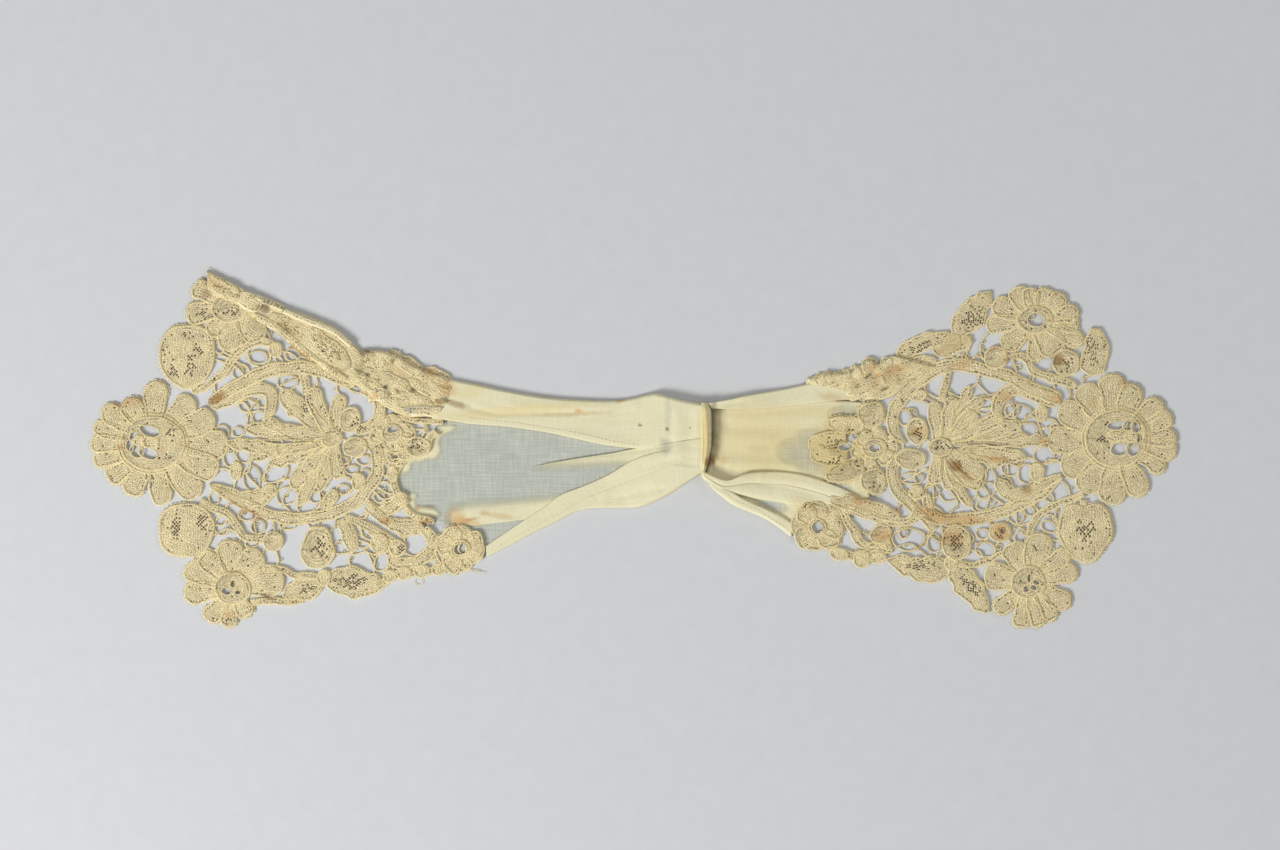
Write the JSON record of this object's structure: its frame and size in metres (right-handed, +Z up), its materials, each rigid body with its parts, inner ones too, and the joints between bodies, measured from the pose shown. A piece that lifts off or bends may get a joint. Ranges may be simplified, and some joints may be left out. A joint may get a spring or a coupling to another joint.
{
  "type": "jabot",
  "caption": "Laid-flat jabot: a folded sheer lawn strip, gathered at its waist, with a floral openwork lace end at each side.",
  "frame": {"origin": "middle of the laid jabot's outline from above, on the table", "axes": "+X along the jabot to the end with the shorter lawn half, +Y to the edge with the turned-down borders, +Z up off the table"},
  "size_m": [0.3408, 0.1122, 0.0048],
  "materials": {
    "lace": "matte cotton lace, aged ecru",
    "lawn": "matte fine lawn, aged cream"
  },
  "bodies": {
    "root": {"lace_left": "lace", "lace_right": "lace", "border_fold_left": "lace", "border_crumple_left": "lace", "border_crumple_right": "lace", "lawn_left": "lawn", "lawn_right": "lawn", "waist_roll": "lawn", "pleat_top_left": "lawn", "pleat_wedge_left": "lawn", "pleat_fold_left": "lawn", "pleat_hem_left": "lawn", "pleat_top_right": "lawn", "pleat_first_right": "lawn", "pleat_second_right": "lawn", "pleat_hem_right": "lawn"}
  },
  "joints": []
}
